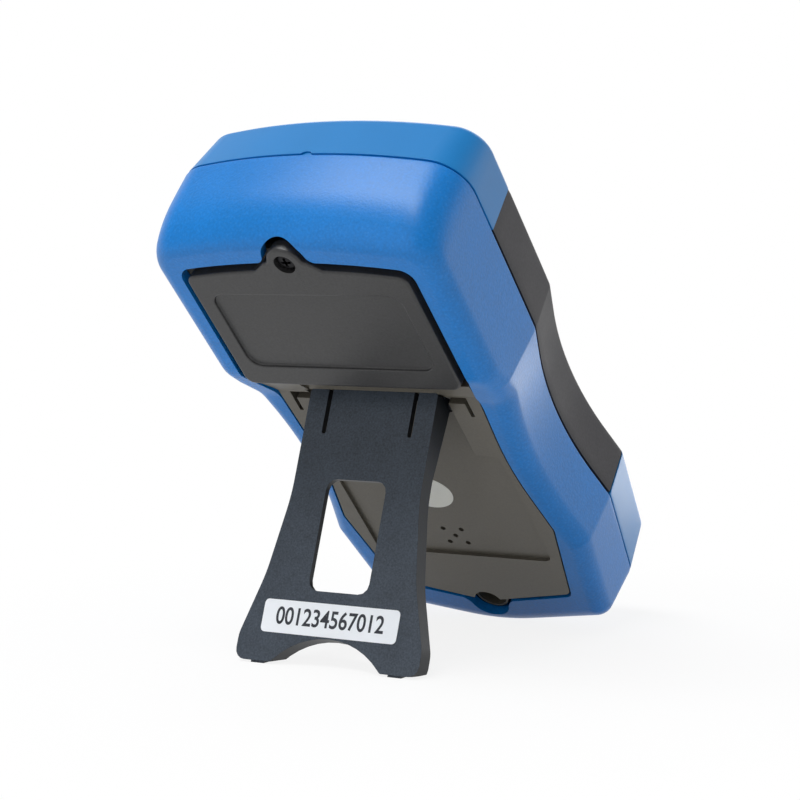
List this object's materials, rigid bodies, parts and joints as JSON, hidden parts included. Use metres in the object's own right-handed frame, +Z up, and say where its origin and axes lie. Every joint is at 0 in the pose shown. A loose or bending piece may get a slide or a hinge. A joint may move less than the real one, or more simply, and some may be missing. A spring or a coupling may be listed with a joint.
{
  "type": "multimeter",
  "caption": "Handheld digital multimeter in a waisted blue case, with display, keys, selector and input jacks in front and a battery door behind, leaning back on its fold-out tilt stand.",
  "frame": {"origin": "middle of the object's box, on the table it stands on, with the stand open", "axes": "+Z up, the meter's front faces -Y and leans back, +X to the right seen from the front and along the stand's hinge"},
  "size_m": [0.0888, 0.1458, 0.144],
  "materials": {
    "case_blue": "fine satin grain, overmoulded",
    "grip_rubber": "matt",
    "door_black": "satin, fine grain",
    "panel_black": "satin, fine grain",
    "stand_black": "fine mould texture",
    "face_grey": "fine grain",
    "knob_black": "fine grain",
    "key_rubber": "matt",
    "window_clear": "polished",
    "lcd_green": "polished",
    "white_plastic": "satin",
    "elastomer": "matt",
    "board_green": "lacquered",
    "brass": "bright",
    "fuse_ceramic": "glazed",
    "battery_case": "lacquered",
    "black_plastic": "satin",
    "steel": "zinc plated"
  },
  "bodies": {
    "case": {"rear_shell": "case_blue", "backlight_panel": "white_plastic", "battery": "battery_case", "battery_door": "door_black", "battery_door_screw": "steel", "battery_snap": "black_plastic", "board_screw_1": "steel", "board_screw_2": "steel", "board_screw_3": "steel", "board_screw_4": "steel", "buzzer": "black_plastic", "case_screw_left": "steel", "case_screw_low": "steel", "case_screw_right": "steel", "circuit_board": "board_green", "display_window": "window_clear", "elastomer_strip": "elastomer", "front_case": "face_grey", "front_shell": "case_blue", "fuse_1": "fuse_ceramic", "fuse_2": "fuse_ceramic", "fuse_clip_1": "brass", "fuse_clip_2": "brass", "fuse_clip_3": "brass", "fuse_clip_4": "brass", "jack_1": "brass", "jack_2": "brass", "jack_3": "brass", "jack_4": "brass", "keypad": "grip_rubber", "lcd_glass": "lcd_green", "lcd_holder": "white_plastic", "rear_panel": "panel_black", "side_grip_left": "grip_rubber", "side_grip_right": "grip_rubber"},
    "kickstand": {"kickstand": "stand_black"},
    "selector": {"detent_ball_1": "steel", "detent_ball_2": "steel", "detent_spring_1": "steel", "detent_spring_2": "steel", "selector_knob": "knob_black", "selector_rotor": "white_plastic", "wiper_1": "brass", "wiper_2": "brass", "wiper_3": "brass"},
    "button_1": {"button_1": "key_rubber"},
    "button_2": {"button_2": "key_rubber"},
    "button_3": {"button_3": "key_rubber"},
    "button_4": {"button_4": "key_rubber"}
  },
  "joints": [
    {"name": "stand_hinge", "type": "hinge", "parent": "case", "child": "kickstand", "pos_m": [0, 0.01898, 0.06859], "axis": [1, 0, 0], "range_deg": [-64, 0]},
    {"name": "selector_turn", "type": "hinge", "parent": "case", "child": "selector", "pos_m": [0, -0.02241, 0.07584], "axis": [0, -0.7161, 0.698], "continuous": true},
    {"name": "button_1_press", "type": "slide", "parent": "case", "child": "button_1", "axis": [0, 0.7161, -0.698], "range_m": [0, 0.0012], "stiffness_N_per_m": 400},
    {"name": "button_2_press", "type": "slide", "parent": "case", "child": "button_2", "axis": [0, 0.7161, -0.698], "range_m": [0, 0.0012], "stiffness_N_per_m": 400},
    {"name": "button_3_press", "type": "slide", "parent": "case", "child": "button_3", "axis": [0, 0.7161, -0.698], "range_m": [0, 0.0012], "stiffness_N_per_m": 400},
    {"name": "button_4_press", "type": "slide", "parent": "case", "child": "button_4", "axis": [0, 0.7161, -0.698], "range_m": [0, 0.0012], "stiffness_N_per_m": 400}
  ]
}
